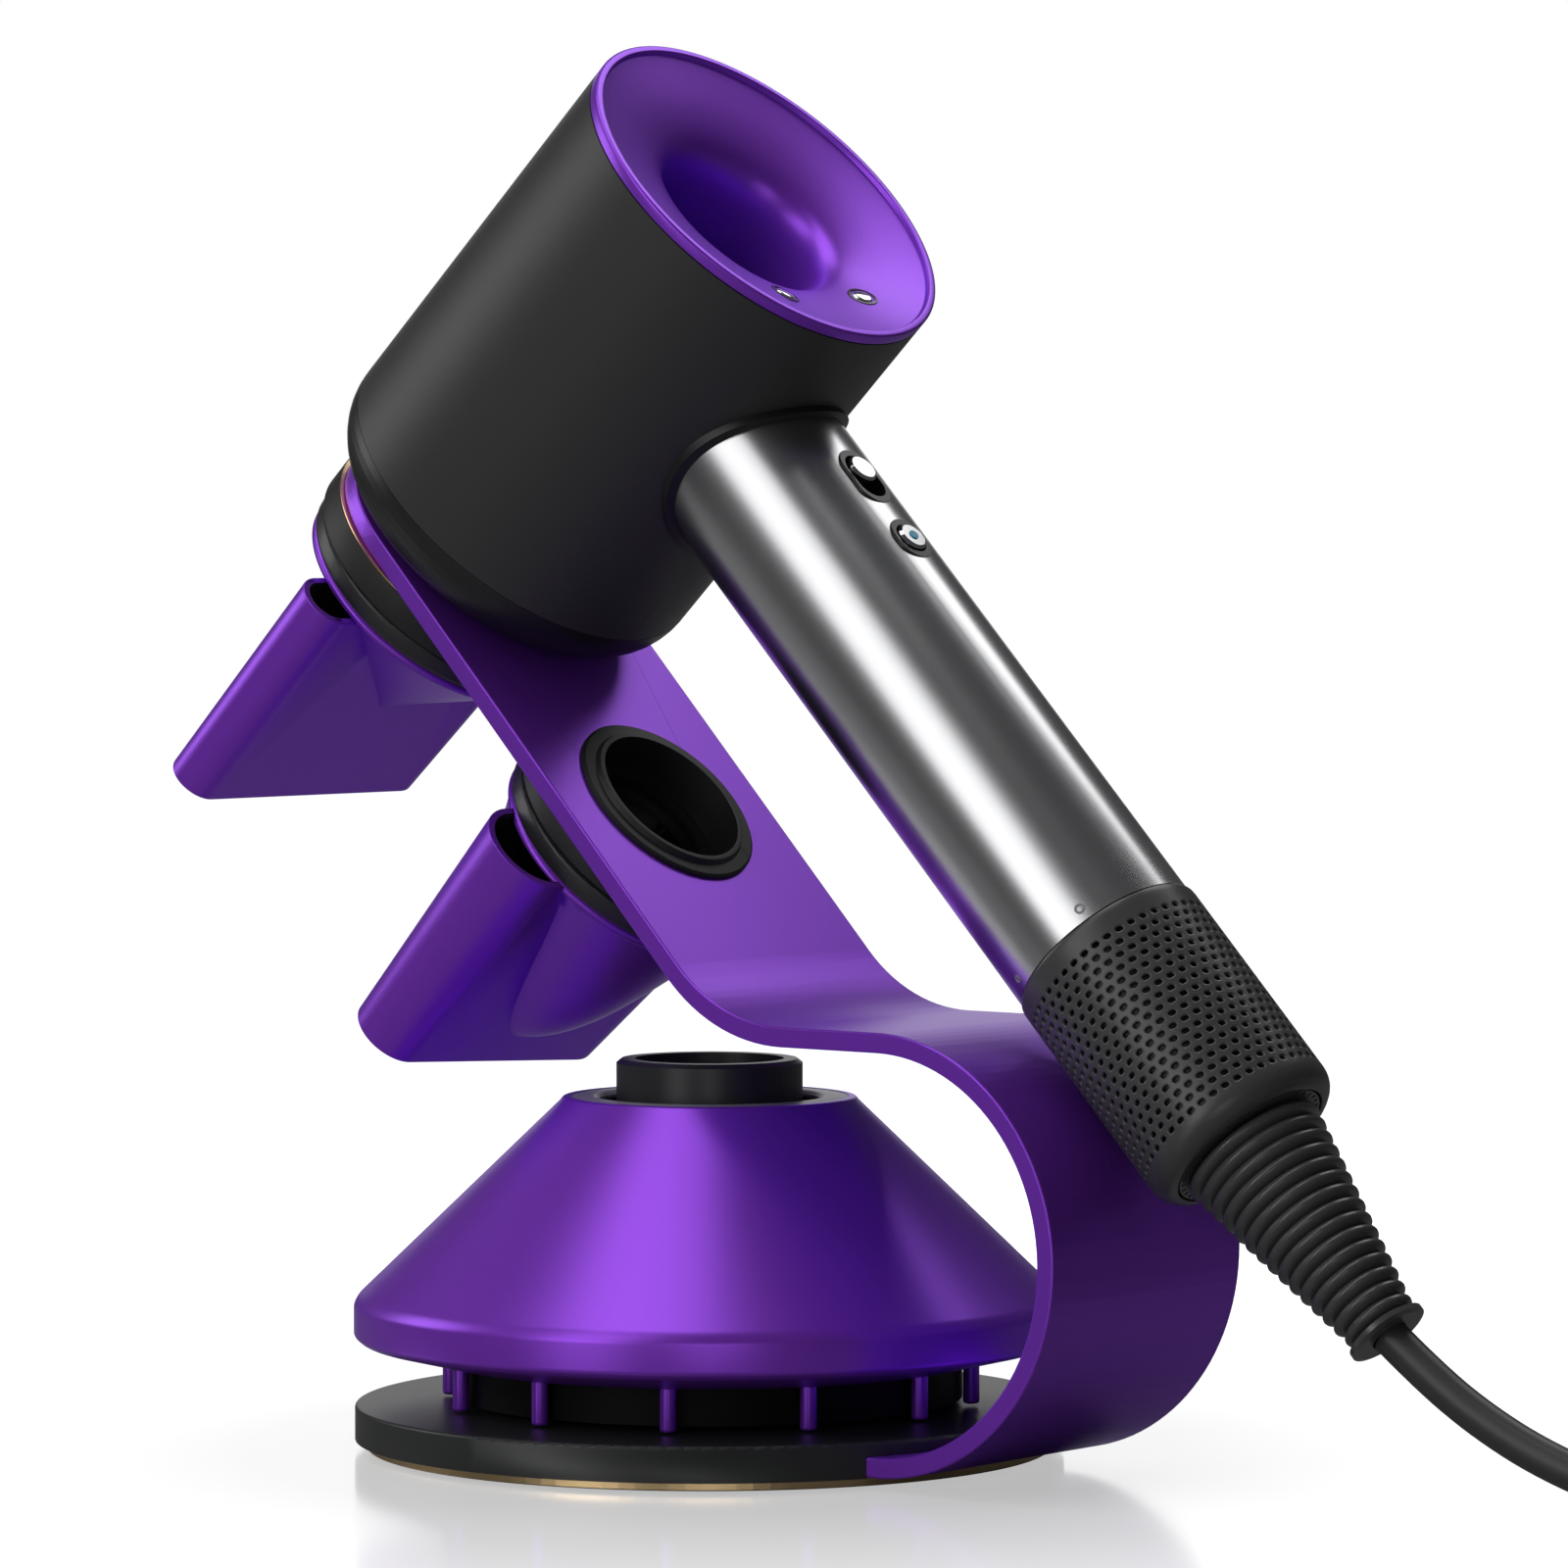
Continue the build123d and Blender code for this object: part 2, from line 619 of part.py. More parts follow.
# Blade ends are (height above the collar's base, width, thickness).
upper_root, upper_tip = (6.6, 71.4, 12.4), (58.4, 67.2, 11.4)
lower_root, lower_tip = (4.8, 73.0, 20.4), (58.8, 63.0, 15.6)
upper_collar_r, lower_collar_r = 29.0, 27.4
# Fairing sections are (height, half width, half depth).
upper_fairing = [(4.7, 28.4, 28.4), (31.4, 6.0, 1.2)]
lower_fairing = [(4.7, 26.8, 26.8), (24.0, 22.0, 17.6), (40.0, 16.0, 11.2), (51.0, 8.0, 5.0)]
upper_nozzle_frame = dock_frame(-dock_rise).offset(arm_thick + dock_long + nozzle_gap)
lower_nozzle_frame = dock_frame(lower_dock_at).offset(arm_thick + lower_dock_long + nozzle_gap)


# ---- diffuser -------------------------------------------------------------------------------------------------
def make_diffuser_cone():
    """Wide conical shell with an upright band and a chamfered lower lip."""
    t = diffuser_wall
    lip_r = 52.6
    return turned(
        (cone_top_r - 0.6, cone_top), (cone_top_r, cone_top - 0.8), (cone_wide_r - 0.8, cone_band_top + 0.6),
        (cone_wide_r, cone_band_top - 1.0), (cone_wide_r, cone_band_low + 1.2), (cone_wide_r - 1.4, cone_band_low),
        (lip_r, cone_low), (lip_r - t, cone_low), (lip_r - t, cone_low + t), (cone_wide_r - 2.4, cone_band_low + 2.2),
        (cone_wide_r - t, cone_band_top - 1.6), (cone_top_r - 2.0, cone_top - 2.4), (cone_top_r - 2.0, cone_top),
    )


def make_diffuser_rim():
    """Pale ring let into the top of the cone, standing clear of the collar."""
    return turned(
        (cone_top_r - 2.1, cone_top - 2.2), (cone_top_r - 2.1, cone_top - 0.1), (22.4, cone_top - 0.1),
        (21.6, cone_top - 0.9), (21.6, cone_top - 6), (22.8, cone_top - 6), (22.8, cone_top - 2.2),
    )


def make_diffuser_collar():
    """Round collar that clicks onto the dryer, the duct below it and the spokes to the rim."""
    duct = turned(
        (collar_r - 1.0, collar_top), (collar_r, collar_top - 0.8), (collar_r, 58.0), (20.9, 54.0), (47.5, 33.0),
        (47.5, 30.8), (46.0, 30.8), (19.4, 51.8), (collar_r - 2.4, 57.0), (collar_r - 2.4, collar_top - 3.0),
        (collar_r - 3.6, collar_top - 3.0), (collar_r - 3.6, collar_top),
    )
    spokes = [
        Rot(0, 0, a) * block(collar_r - 0.5, 22.2, -1.5, 1.5, cone_top - 5.8, cone_top - 3) for a in (0, 120, 240)
    ]
    return duct + make_diffuser_rim() + spokes


def make_diffuser_face():
    """Shallow dished plate with the air holes."""
    plate = turned((0, 24.0), (30.0, 22.4), (50.6, 19.6), (50.6, 17.8), (30.0, 20.6), (0, 22.2))
    holes = []
    for count, radius in ((6, 10), (12, 20), (18, 30), (24, 39)):
        holes += [disc(1.8, 15, 28, x, y) for x, y, _ in around(count, radius)]
    return plate - holes


def make_diffuser_drum():
    """Short upright wall under the dished plate."""
    return ring(48.6, 46.8, 10.0, 17.75)


def make_diffuser_pegs():
    """Outer circle of pegs the diffuser stands on."""
    pegs = []
    for x, y, _ in around(peg_count, peg_ring_r, peg_start):
        peg = disc(peg_r, peg_bottom, cone_low - 0.02, x, y)
        pegs.append(fillet(peg.faces().sort_by(Axis.Z)[0].edges(), 0.6))
    return joined(pegs)


peg_start = -59.0

# ---- write every node -----------------------------------------------------------------------------------------
for name, shape in {
    "head_shell": make_head_shell(),
    "front_cap": make_front_cap(),
    "inlet_bell": make_inlet_bell() - make_button_hole(button_y) - make_button_hole(-button_y),
    "core_tube": make_core_tube(),
    "outlet_ring": make_outlet_ring(),
    "neck_magnet": ring(28.0, 25.2, 90.0, 93.0),
    "heater_frame": make_heater_frame(),
    "heater_element": make_heater_element(),
    "ioniser": block(-34.5, -27.5, -6.0, 6.0, 30.0, 44.0),
    "control_board": make_control_board(),
    "flow_button": disc(button_r, 3.1, 9.0, button_x, -button_y),
    "heat_button": disc(button_r, 3.1, 9.0, button_x, button_y),
}.items():
    write(name, shape, dryer)

for name, shape in {
    "handle_collar": make_handle_collar(),
    "handle_tube": make_handle_tube(),
    "switch_bezel": make_bezel(switch_at, switch_long, 10.6, 6.8),
    "power_switch": make_round_button(switch_at - 1.5, 3.1, 0.9, 3.2),
    "cold_shot_bezel": make_bezel(shot_at, shot_long, 6.9, 6.8),
    "cold_shot_button": make_round_button(shot_at, 3.1, 0.8, 1.6),
    "cold_shot_mark": Pos(-control_face_r - 0.82, 0, shot_at) * Rot(0, 90, 0) * disc(1.0, -0.2, 0.0),
    "motor_duct": make_motor_duct(),
    "motor_housing": make_motor_housing(),
    "motor_stator": make_motor_stator(),
    "motor_rotor": make_motor_rotor(),
    "motor_bearings": make_bearings(),
    "impeller": make_impeller(),
    "filter_frame": make_filter_frame(),
    "filter_mesh": ring(15.6, 15.3, 158.4, 197.8),
    "filter_cage": make_filter_cage(),
    "end_cap": make_end_cap(),
    "strain_relief": make_strain_relief(),
    "cord_ferrule": make_cord_ferrule(),
}.items():
    write(name, shape, handle)

write("cord", make_cord(cord_route))
write("cord_coil", Pos(coil_x, coil_y, 0) * make_cord_coil())
write("cord_tail", make_cord(tail_route))
plug_way = Vector(*tail_route[-1]) - Vector(*tail_route[-2])
plug_frame = Plane(origin=tail_route[-1], x_dir=(-plug_way.Y, plug_way.X, 0), z_dir=(plug_way.X, plug_way.Y, 0)).offset(0.15)
write("plug_body", make_plug_body(), plug_frame)
write("plug_pins", make_plug_pins(), plug_frame)

write("base_disc", make_base_disc())
write("base_trim_ring", make_trim_ring())
write("base_weight", make_base_weight())
write("base_foot_pad", disc(pad_r, 0.0, base_bottom - 0.02))
for name, stretch in zip(("arm_plate", "arm_loop", "arm_foot"), split_arm(make_arm())):
    write(name, stretch)
write("arm_screws", make_arm_screws())

write("upper_dock", make_dock(dock_r, dock_long, make_dock_spigot()), upper_dock_frame)
write("upper_dock_trim", make_dock_trim(), upper_dock_frame)
write("upper_dock_magnets", make_dock_magnets(dock_long), upper_dock_frame)
write("lower_dock", make_dock(lower_dock_r, lower_dock_long, make_grommet()), lower_dock_frame)
write("lower_dock_magnets", make_dock_magnets(lower_dock_long), lower_dock_frame)

for prefix, frame, turn, root, tip, fairing, radius in (
    ("smoothing_nozzle", upper_nozzle_frame, 0.0, upper_root, upper_tip, upper_fairing, upper_collar_r),
    ("styling_nozzle", lower_nozzle_frame, styling_turn, lower_root, lower_tip, lower_fairing, lower_collar_r),
):
    write(prefix + "_collar", make_nozzle_collar(radius), frame)
    write(prefix + "_blade", Rot(0, 0, turn) * make_nozzle_blade(root, tip, fairing), frame)
    write(prefix + "_cone", Rot(0, 0, turn) * make_nozzle_cone(root, tip, fairing), frame)

write("diffuser_cone", make_diffuser_cone())
write("diffuser_collar", make_diffuser_collar())
write("diffuser_face", make_diffuser_face())
write("diffuser_drum", make_diffuser_drum())
write("diffuser_pegs", make_diffuser_pegs())
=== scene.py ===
# %% [markdown]
# # A hair dryer on its docking stand
# This file dresses a finished mechanical model. The solids already have their real sizes and joints, so
# nothing here moves or resizes them. What is made here is what a machine model leaves out: rounded edges
# that catch the light, the small holes of the filter, the wound cord, and the surface of every material.

# %% Load the frame
import json
from math import atan2, cos, pi, radians, sin

import bmesh
import bpy
from mathutils import Matrix, Vector


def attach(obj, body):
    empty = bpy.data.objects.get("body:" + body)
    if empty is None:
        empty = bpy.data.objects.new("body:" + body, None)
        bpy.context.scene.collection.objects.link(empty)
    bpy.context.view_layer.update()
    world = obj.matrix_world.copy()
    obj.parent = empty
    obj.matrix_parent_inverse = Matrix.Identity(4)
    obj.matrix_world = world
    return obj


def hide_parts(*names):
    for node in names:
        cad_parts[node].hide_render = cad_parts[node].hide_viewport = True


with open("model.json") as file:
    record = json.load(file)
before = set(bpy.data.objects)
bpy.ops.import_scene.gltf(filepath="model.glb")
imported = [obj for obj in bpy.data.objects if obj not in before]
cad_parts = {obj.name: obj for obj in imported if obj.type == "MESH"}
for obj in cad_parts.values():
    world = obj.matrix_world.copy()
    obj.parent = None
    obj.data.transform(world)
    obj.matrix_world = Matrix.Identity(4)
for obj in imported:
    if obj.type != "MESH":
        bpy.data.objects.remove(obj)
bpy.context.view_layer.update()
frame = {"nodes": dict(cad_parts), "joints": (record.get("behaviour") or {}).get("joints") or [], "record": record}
nodes = frame["nodes"]
joints = {j["name"]: j for j in frame["joints"]}
MM = 0.001

# %% [markdown]
# ## Where things are
# The dryer lies at a slant, so its pieces are easiest to describe in its own directions: one along the air
# flow through the head, and one down the handle. Both are axes of real joints, so they are read from the
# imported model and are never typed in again. A frame made from them places each piece with one matrix.
# The handle crosses the head 39 mm in from its rear rim, and 110 mm above the middle of the rotor.

# %% The object's own directions and places
rotor_down, rim_to_cross = 110, 39
flow = -Vector(joints["dryer_lift"]["axis"]).normalized()
down = Vector(joints["power_slide"]["axis"]).normalized()
handle_cross = Vector(joints["rotor_spin"]["pos_m"]) - down * rotor_down * MM
rear_rim = handle_cross - flow * rim_to_cross * MM


def place(origin, z_dir, x_dir):
    """Matrix that takes a piece drawn at the origin, in metres, to its place."""
    y_dir = z_dir.cross(x_dir)
    turn = Matrix((x_dir, y_dir, z_dir)).transposed().to_4x4()
    return Matrix.Translation(origin) @ turn


head_place = place(rear_rim, flow, down)
handle_place = place(handle_cross, down, flow)
upper_axis = Vector(joints["smoothing_turn"]["pos_m"])
lower_axis = Vector(joints["styling_turn"]["pos_m"])
print("flow", flow, "down", down)

# %% [markdown]
# ## The camera
# A long lens from a low position: the sides of the stand stay nearly parallel and the base is seen almost
# edge-on, as in a catalogue picture.

# %% Camera
camera = bpy.data.objects.new("camera", bpy.data.cameras.new("camera"))
bpy.context.scene.collection.objects.link(camera)
camera.data.lens = 161.75
camera.data.sensor_width = 36
camera.location = (0.8629, -1.0376, 0.1782)
aim = Vector((0.0111, 0.0090, 0.1274))
camera.rotation_euler = (aim - camera.location).to_track_quat("-Z", "Y").to_euler()
bpy.context.scene.camera = camera

# %% [markdown]
# ## Floor and light
# The set stands on a white, slightly glossy table in front of white. Bare metal and satin paint show mostly
# what is around them, so the room is kept dark and lit by a few soft panels. A panel gives each round
# surface one broad bright band, and the dark gap beside it gives the band an edge.

# %% Floor
floor_mesh = bpy.data.meshes.new("floor")
bm = bmesh.new()
bmesh.ops.create_grid(bm, x_segments=1, y_segments=1, size=6.0)
bm.to_mesh(floor_mesh)
bm.free()
floor = bpy.data.objects.new("floor", floor_mesh)
bpy.context.scene.collection.objects.link(floor)
floor.location.z = -0.0002


# %% Lights
def soft_panel(name, direction, distance, width, height, radiance):
    """Rectangular light that faces the set; radiance is how bright it looks in a mirror."""
    light = bpy.data.lights.new(name, "AREA")
    light.shape = "RECTANGLE"
    light.size, light.size_y = width, height
    light.energy = radiance * pi * width * height
    panel = bpy.data.objects.new(name, light)
    bpy.context.scene.collection.objects.link(panel)
    panel.location = centre + Vector(direction).normalized() * distance
    panel.rotation_euler = (centre - panel.location).to_track_quat("-Z", "Y").to_euler()
    return panel


centre = Vector((0.02, 0.0, 0.12))
soft_panel("front_strip", (-0.07, -0.88, 0.48), 1.3, 0.55, 1.2, 1.8)
soft_panel("low_front", (0.02, -0.98, 0.08), 1.4, 0.6, 0.45, 1.2)
soft_panel("left_panel", (-0.88, -0.34, 0.32), 1.2, 0.55, 0.5, 2.2)
soft_panel("back_panel", (0.03, 0.60, 0.80), 1.3, 0.65, 0.6, 2.2)
soft_panel("backdrop", (-0.66, 0.74, 0.20), 1.6, 0.9, 0.7, 0.8)
soft_panel("camera_fill", (0.63, -0.77, 0.04), 2.1, 0.8, 0.8, 1.2)
top_strip = soft_panel("top_strip", (-0.20, -0.16, 0.95), 1.3, 0.75, 1.0, 2.0)
top_strip.rotation_euler = (0, 0, radians(39))

world = bpy.data.worlds.new("studio")
bpy.context.scene.world = world
world.use_nodes = True
tree = world.node_tree
tree.nodes.clear()
seen = tree.nodes.new("ShaderNodeBackground")
seen.inputs["Color"].default_value = (1.0, 1.0, 1.0, 1)
seen.inputs["Strength"].default_value = 1.0
around = tree.nodes.new("ShaderNodeBackground")
around.inputs["Color"].default_value = (0.95, 0.96, 1.0, 1)
around.inputs["Strength"].default_value = 0.06
path = tree.nodes.new("ShaderNodeLightPath")
mix = tree.nodes.new("ShaderNodeMixShader")
out = tree.nodes.new("ShaderNodeOutputWorld")
tree.links.new(path.outputs["Is Camera Ray"], mix.inputs[0])
tree.links.new(around.outputs[0], mix.inputs[1])
tree.links.new(seen.outputs[0], mix.inputs[2])
tree.links.new(mix.outputs[0], out.inputs["Surface"])
bpy.context.scene.view_settings.view_transform = "Standard"

# %% [markdown]
# ## Materials
# Each finish is a small network of its own, but two effects come back in all of them, so each is a node
# group: a fine grain that roughens the surface, and a soft unevenness in colour and gloss.

# %% Shared effects
def new_group(name, inputs, outputs):
    """Empty shader group with named sockets: (name, kind, default)."""
    group = bpy.data.node_groups.new(name, "ShaderNodeTree")
    for label, kind, value in inputs:
        socket = group.interface.new_socket(label, in_out="INPUT", socket_type=kind)
        socket.default_value = value
    for label, kind in outputs:
        group.interface.new_socket(label, in_out="OUTPUT", socket_type=kind)
    first = group.nodes.new("NodeGroupInput")
    last = group.nodes.new("NodeGroupOutput")
    return group, first, last


def make_grain_group():
    """Fine bump from noise on the piece's own coordinates."""
    group, first, last = new_group(
        "fine_grain",
        [("Size mm", "NodeSocketFloat", 0.4), ("Depth mm", "NodeSocketFloat", 0.01)],
        [("Normal", "NodeSocketVector")],
    )
    coords = group.nodes.new("ShaderNodeTexCoord")
    scale = group.nodes.new("ShaderNodeMath")
    scale.operation = "DIVIDE"
    scale.inputs[0].default_value = 1000.0
    noise = group.nodes.new("ShaderNodeTexNoise")
    noise.inputs["Detail"].default_value = 3.0
    bump = group.nodes.new("ShaderNodeBump")
    bump.inputs["Strength"].default_value = 1.0
    depth = group.nodes.new("ShaderNodeMath")
    depth.operation = "MULTIPLY"
    depth.inputs[1].default_value = MM
    link = group.links.new
    link(first.outputs["Size mm"], scale.inputs[1])
    link(coords.outputs["Object"], noise.inputs["Vector"])
    link(scale.outputs[0], noise.inputs["Scale"])
    link(noise.outputs["Fac"], bump.inputs["Height"])
    link(first.outputs["Depth mm"], depth.inputs[0])
    link(depth.outputs[0], bump.inputs["Distance"])
    link(bump.outputs["Normal"], last.inputs["Normal"])
    return group


def make_uneven_group():
    """Slow, soft variation that nudges a colour and a roughness."""
    group, first, last = new_group(
        "soft_unevenness",
        [
            ("Color", "NodeSocketColor", (0.5, 0.5, 0.5, 1)), ("Roughness", "NodeSocketFloat", 0.4),
            ("Size mm", "NodeSocketFloat", 30.0), ("Amount", "NodeSocketFloat", 0.06),
        ],
        [("Color", "NodeSocketColor"), ("Roughness", "NodeSocketFloat")],
    )
    coords = group.nodes.new("ShaderNodeTexCoord")
    scale = group.nodes.new("ShaderNodeMath")
    scale.operation = "DIVIDE"
    scale.inputs[0].default_value = 1000.0
    noise = group.nodes.new("ShaderNodeTexNoise")
    noise.inputs["Detail"].default_value = 2.0
    spread = group.nodes.new("ShaderNodeMath")
    spread.operation = "MULTIPLY_ADD"
    centred = group.nodes.new("ShaderNodeMath")
    centred.operation = "SUBTRACT"
    centred.inputs[1].default_value = 0.5
    shade = group.nodes.new("ShaderNodeHueSaturation")
    rough = group.nodes.new("ShaderNodeMath")
    rough.operation = "MULTIPLY"
    link = group.links.new
    link(first.outputs["Size mm"], scale.inputs[1])
    link(coords.outputs["Object"], noise.inputs["Vector"])
    link(scale.outputs[0], noise.inputs["Scale"])
    link(noise.outputs["Fac"], centred.inputs[0])
    link(centred.outputs[0], spread.inputs[0])
    link(first.outputs["Amount"], spread.inputs[1])
    spread.inputs[2].default_value = 1.0
    link(spread.outputs[0], shade.inputs["Value"])
    link(first.outputs["Color"], shade.inputs["Color"])
    link(first.outputs["Roughness"], rough.inputs[0])
    link(spread.outputs[0], rough.inputs[1])
    link(shade.outputs["Color"], last.inputs["Color"])
    link(rough.outputs[0], last.inputs["Roughness"])
    return group


fine_grain = make_grain_group()
soft_unevenness = make_uneven_group()


# %% One recipe, many finishes
def finish(name, colour, roughness, metallic=0.0, grain=(0.5, 0.006), uneven=(30.0, 0.08)):
    """Material with the shared effects: grain is (size mm, depth mm), and uneven is (size mm, amount)."""
    material = bpy.data.materials.new(name)
    material.use_nodes = True
    tree = material.node_tree
    shader = tree.nodes["Principled BSDF"]
    cloud = tree.nodes.new("ShaderNodeGroup")
    cloud.node_tree = soft_unevenness
    cloud.inputs["Color"].default_value = (*colour, 1)
    cloud.inputs["Roughness"].default_value = roughness
    cloud.inputs["Size mm"].default_value = uneven[0]
    cloud.inputs["Amount"].default_value = uneven[1]
    fine = tree.nodes.new("ShaderNodeGroup")
    fine.node_tree = fine_grain
    fine.inputs["Size mm"].default_value = grain[0]
    fine.inputs["Depth mm"].default_value = grain[1]
    tree.links.new(cloud.outputs["Color"], shader.inputs["Base Color"])
    tree.links.new(cloud.outputs["Roughness"], shader.inputs["Roughness"])
    tree.links.new(fine.outputs["Normal"], shader.inputs["Normal"])
    shader.inputs["Metallic"].default_value = metallic
    material.diffuse_color = (*colour, 1)
    return material


finishes = {
    "purple_satin": finish("purple satin", (0.31, 0.058, 0.80), 0.34, 0.55, grain=(0.35, 0.002)),
    "head_charcoal": finish("charcoal satin", (0.05, 0.05, 0.052), 0.46, 0.25, grain=(0.35, 0.004)),
    "cap_black": finish("black moulding", (0.012, 0.012, 0.013), 0.38),
    "handle_nickel": finish("polished nickel", (0.62, 0.62, 0.63), 0.25, 1.0, grain=(0.6, 0.0006)),
    "cage_grey": finish("cage grey", (0.075, 0.075, 0.077), 0.33),
    "relief_grey": finish("ribbed rubber", (0.085, 0.085, 0.086), 0.25),
    "cord_grey": finish("cord sheath", (0.05, 0.05, 0.052), 0.4),
    "plug_black": finish("plug moulding", (0.02, 0.02, 0.02), 0.45, grain=(0.8, 0.02)),
    "pin_brass": finish("plated brass", (0.75, 0.62, 0.35), 0.25, 1.0),
    "control_black": finish("control black", (0.012, 0.012, 0.012), 0.25),
    "button_chrome": finish("button chrome", (0.8, 0.8, 0.82), 0.12, 1.0, grain=(0.5, 0.0005)),
    "mark_blue": finish("blue mark", (0.05, 0.45, 0.7), 0.3),
    "magnet_steel": finish("steel", (0.5, 0.5, 0.5), 0.35, 1.0),
    "heater_card": finish("mica card", (0.5, 0.45, 0.36), 0.6),
    "heater_wire": finish("heating wire", (0.45, 0.4, 0.36), 0.4, 1.0),
    "board_green": finish("circuit board", (0.02, 0.16, 0.07), 0.45),
    "inner_black": finish("inner moulding", (0.02, 0.02, 0.02), 0.55),
    "motor_alloy": finish("turned alloy", (0.6, 0.6, 0.62), 0.3, 1.0),
    "mesh_steel": finish("filter mesh", (0.1, 0.1, 0.1), 0.5, 0.8),
    "dock_black": finish("dock rubber", (0.012, 0.012, 0.013), 0.5),
    "trim_copper": finish("copper trim", (0.80, 0.58, 0.30), 0.3, 1.0),
    "base_black": finish("base paint", (0.035, 0.037, 0.036), 0.4, 0.2),
    "weight_iron": finish("cast weight", (0.12, 0.12, 0.12), 0.6, 0.8, grain=(2.0, 0.08)),
    "pad_rubber": finish("pad rubber", (0.02, 0.02, 0.02), 0.7),
    "collar_grey": finish("collar grey", (0.025, 0.025, 0.027), 0.36),
    "ring_pale": finish("pale ring", (0.35, 0.33, 0.38), 0.35),
    "drum_black": finish("drum black", (0.004, 0.004, 0.004), 0.5),
    "table": finish("pale table", (0.35, 0.35, 0.352), 0.14, grain=(3.0, 0.0), uneven=(300.0, 0.02)),
}
drum_shader = finishes["drum_black"].node_tree.nodes["Principled BSDF"]
drum_shader.inputs["Specular IOR Level"].default_value = 0.12

# %% Finishes on the CAD nodes
slot_of = {part["node"]: part["material_slot"] for part in frame["record"]["subparts"]}
for name, node in nodes.items():
    if not node.material_slots:
        node.data.materials.append(None)
    for entry in node.material_slots:
        entry.link = "OBJECT"
        entry.material = finishes[slot_of[name]]

# %% Table that fades to white
# The table glows for the camera only: dim under the set, where shadows and reflections show, white beyond.
floor_mesh.materials.append(finishes["table"])
table_tree = finishes["table"].node_tree
shine = table_tree.nodes["Principled BSDF"]
spot = table_tree.nodes.new("ShaderNodeTexCoord")
away = table_tree.nodes.new("ShaderNodeVectorMath")
away.operation = "LENGTH"
fade = table_tree.nodes.new("ShaderNodeMapRange")
near_edge, far_edge = 0.09, 0.34
near_glow, far_glow = 0.48, 1.0
fade.inputs["From Min"].default_value = near_edge
fade.inputs["From Max"].default_value = far_edge
fade.inputs["To Min"].default_value = near_glow
fade.inputs["To Max"].default_value = far_glow
only_seen = table_tree.nodes.new("ShaderNodeLightPath")
glow = table_tree.nodes.new("ShaderNodeMath")
glow.operation = "MULTIPLY"
table_tree.links.new(spot.outputs["Object"], away.inputs[0])
table_tree.links.new(away.outputs["Value"], fade.inputs["Value"])
table_tree.links.new(fade.outputs["Result"], glow.inputs[0])
table_tree.links.new(only_seen.outputs["Is Camera Ray"], glow.inputs[1])
table_tree.links.new(glow.outputs[0], shine.inputs["Emission Strength"])
shine.inputs["Emission Color"].default_value = (1, 1, 1, 1)

# %% [markdown]
# ## The cord
# A mains dryer has a stiff round lead of about 2.6 m. A little of it shows, falling from the handle to the
# table; the rest is wound into a round coil with the plug beside it. One spline carries the whole length: the
# lead's points come first, then a loop works out the turns, then the tail's points. The spline is of order
# three, so it rounds every corner by itself and never kinks.

# %% Route of the lead, the coil and the tail
cord_d = 7.0
ferrule_down = 249.4
ferrule_low = handle_cross + down * ferrule_down * MM
lead_points = [
    (ferrule_low.x / MM, 0.0, ferrule_low.z / MM),
    (166.0, 0.0, 26.2),
    (176.5, 0.4, 19.4),
    (189.0, 1.4, 13.2),
    (204.5, 3.6, 8.0),
    (223.0, 7.6, 4.5),
    (245.0, 12.6, 3.7),
]
tail_points = [
    (301.5, 76.5, 15.5),
    (301.0, 102.0, 10.8),
    (288.5, 122.0, 7.9),
    (268.0, 133.5, 8.0),
    (245.0, 134.0, 8.5),
]
coil_x, coil_y = 246.0, 66.0
coil_outer, coil_inner = 49.5, 28.5
points_per_turn = 20
# A spline of order three cuts inside its control points, so the turns are drawn a little wide.
widen = 2 / (1 + cos(2 * pi / points_per_turn))


def coil_turns(start_deg, turns, r_from, r_to, z_from, z_to):
    """Points of a flat or rising spiral round the coil's centre."""
    count = round(turns * points_per_turn)
    for k in range(1, count + 1):
        share = k / count
        angle = radians(start_deg) + 2 * pi * turns * share
        radius = (r_from + (r_to - r_from) * share) * widen
        yield (coil_x + radius * cos(angle), coil_y + radius * sin(angle), z_from + (z_to - z_from) * share)


step = 1 / points_per_turn
low, middle, high = cord_d / 2, cord_d * 1.5, cord_d * 2.5
start = -66.0
# The last fifth of a turn climbs to the next layer.
climb = 0.2
climb_start = start - 360 * climb
lead_height = 3.6
coil_points = list(coil_turns(start - 360 * step, step, coil_outer, coil_outer, lead_height, low))
coil_points += list(coil_turns(start, 3, coil_outer, coil_inner, low, low))
coil_points += list(coil_turns(start, 1 - climb, coil_inner, coil_inner, low, low))
coil_points += list(coil_turns(climb_start, climb, coil_inner, coil_inner, low, middle))
coil_points += list(coil_turns(start, 3, coil_inner, coil_outer, middle, middle))
coil_points += list(coil_turns(start, 1 - climb, coil_outer, coil_outer, middle, middle))
coil_points += list(coil_turns(climb_start, climb, coil_outer, coil_outer, middle, high))
coil_points += list(coil_turns(start, 1.05, coil_outer, coil_outer, high, high))
route = lead_points + coil_points + tail_points
print("cord points", len(route))

# %% Cord as one spline
cord_curve = bpy.data.curves.new("cord_line", "CURVE")
cord_curve.dimensions = "3D"
spline = cord_curve.splines.new("NURBS")
spline.points.add(len(route) - 1)
for point, (x, y, z) in zip(spline.points, route):
    point.co = (x * MM, y * MM, z * MM, 1.0)
    point.radius = cord_d / 2 * MM
spline.order_u = 3
spline.use_endpoint_u = True
spline.resolution_u = 6
